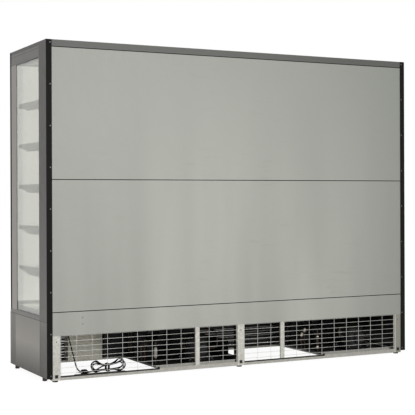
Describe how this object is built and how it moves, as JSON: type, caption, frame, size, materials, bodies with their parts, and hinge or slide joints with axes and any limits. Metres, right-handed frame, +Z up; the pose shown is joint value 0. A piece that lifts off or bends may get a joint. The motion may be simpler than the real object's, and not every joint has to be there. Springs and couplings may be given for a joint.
{
  "type": "refrigerated display cabinet",
  "caption": "Long open-front refrigerated wall cabinet with glazed end walls, hanging shelves, a smooth rear skin and a machine space behind wire mesh.",
  "frame": {"origin": "on the floor under the middle of the cabinet", "axes": "+X along the length to the left end seen from behind, -Y to the open front, +Z up"},
  "size_m": [2.57, 0.72, 2],
  "materials": {
    "galvanised": "satin zinc coat",
    "zinc_wire": "bright zinc wire",
    "rear_skin": "smooth coated sheet",
    "roof_grey": "satin paint",
    "black_trim": "fine grained",
    "wall_grey": "satin metallic paint",
    "pane": "clear",
    "white_steel": "powder coat",
    "foam": "cut foam",
    "front_grey": "satin paint",
    "black_paint": "semi gloss",
    "copper": "drawn tube",
    "fin_metal": "mill finish",
    "fan_plastic": "moulded",
    "foot_black": "moulded",
    "screw_zinc": "blackened zinc",
    "light_cover": "opal",
    "outlet_plastic": "moulded",
    "control_black": "moulded",
    "cord_black": "extruded sheath"
  },
  "bodies": {
    "cabinet": {"base_rails": "galvanised", "posts": "galvanised", "stiffeners": "galvanised", "unit_trays": "galvanised", "electrical_box": "galvanised", "mesh_left": "zinc_wire", "mesh_right": "zinc_wire", "rear_beam": "rear_skin", "lower_rear_panel": "rear_skin", "upper_rear_panel": "rear_skin", "roof_panel": "roof_grey", "corner_trims": "black_trim", "front_edge_strips": "black_trim", "end_frame_left": "wall_grey", "end_frame_right": "wall_grey", "end_lower_panel_left": "wall_grey", "end_lower_panel_right": "wall_grey", "end_glass_left": "pane", "end_glass_right": "pane", "shelf_1": "white_steel", "shelf_2": "white_steel", "shelf_3": "white_steel", "shelf_4": "white_steel", "shelf_5": "white_steel", "shelf_brackets": "white_steel", "back_liner": "white_steel", "uprights": "white_steel", "deck_pans": "white_steel", "canopy": "white_steel", "tub_liner": "white_steel", "return_air_grille": "white_steel", "insulation_core": "foam", "front_panel": "front_grey", "kick_panel": "front_grey", "canopy_fascia": "front_grey", "compressors": "black_paint", "fan_shrouds": "black_paint", "fan_motors": "black_paint", "condensers": "black_paint", "refrigerant_pipes": "copper", "evaporator_coil": "fin_metal", "panel_fasteners": "screw_zinc", "led_light": "light_cover", "air_honeycomb": "outlet_plastic", "controller": "control_black", "cable_gland": "cord_black", "cord_drop": "cord_black", "cord_hank": "cord_black", "mains_plug": "cord_black"},
    "foot_rear_left_body": {"foot_rear_left": "foot_black"},
    "foot_rear_centre_body": {"foot_rear_centre": "foot_black"},
    "foot_rear_right_body": {"foot_rear_right": "foot_black"},
    "foot_front_left_body": {"foot_front_left": "foot_black"},
    "foot_front_centre_body": {"foot_front_centre": "foot_black"},
    "foot_front_right_body": {"foot_front_right": "foot_black"},
    "condenser_fan_left_body": {"condenser_fan_left": "fan_plastic"},
    "condenser_fan_right_body": {"condenser_fan_right": "fan_plastic"},
    "evaporator_fan_left_body": {"evaporator_fan_left": "fan_plastic"},
    "evaporator_fan_right_body": {"evaporator_fan_right": "fan_plastic"},
    "power_switch_body": {"power_switch": "control_black"}
  },
  "joints": [
    {"name": "foot_rear_left_turn", "type": "hinge", "parent": "cabinet", "child": "foot_rear_left_body", "pos_m": [1.226, 0.3318, 0], "axis": [0, 0, 1], "continuous": true},
    {"name": "foot_rear_centre_turn", "type": "hinge", "parent": "cabinet", "child": "foot_rear_centre_body", "pos_m": [0, 0.3318, 0], "axis": [0, 0, 1], "continuous": true},
    {"name": "foot_rear_right_turn", "type": "hinge", "parent": "cabinet", "child": "foot_rear_right_body", "pos_m": [-1.226, 0.3318, 0], "axis": [0, 0, 1], "continuous": true},
    {"name": "foot_front_left_turn", "type": "hinge", "parent": "cabinet", "child": "foot_front_left_body", "pos_m": [1.226, -0.3048, 0], "axis": [0, 0, 1], "continuous": true},
    {"name": "foot_front_centre_turn", "type": "hinge", "parent": "cabinet", "child": "foot_front_centre_body", "pos_m": [0, -0.3048, 0], "axis": [0, 0, 1], "continuous": true},
    {"name": "foot_front_right_turn", "type": "hinge", "parent": "cabinet", "child": "foot_front_right_body", "pos_m": [-1.226, -0.3048, 0], "axis": [0, 0, 1], "continuous": true},
    {"name": "condenser_fan_left_spin", "type": "hinge", "parent": "cabinet", "child": "condenser_fan_left_body", "pos_m": [0.354, -0.1502, 0.137], "axis": [0, 1, 0], "continuous": true},
    {"name": "condenser_fan_right_spin", "type": "hinge", "parent": "cabinet", "child": "condenser_fan_right_body", "pos_m": [-0.843, -0.1502, 0.137], "axis": [0, 1, 0], "continuous": true},
    {"name": "evaporator_fan_left_spin", "type": "hinge", "parent": "cabinet", "child": "evaporator_fan_left_body", "pos_m": [0.52, -0.1384, 0.3612], "axis": [0, 0, 1], "continuous": true},
    {"name": "evaporator_fan_right_spin", "type": "hinge", "parent": "cabinet", "child": "evaporator_fan_right_body", "pos_m": [-0.52, -0.1384, 0.3612], "axis": [0, 0, 1], "continuous": true},
    {"name": "power_switch_rock", "type": "hinge", "parent": "cabinet", "child": "power_switch_body", "pos_m": [0.862, -0.34, 0.168], "axis": [1, 0, 0], "range_deg": [-16, 0]}
  ]
}
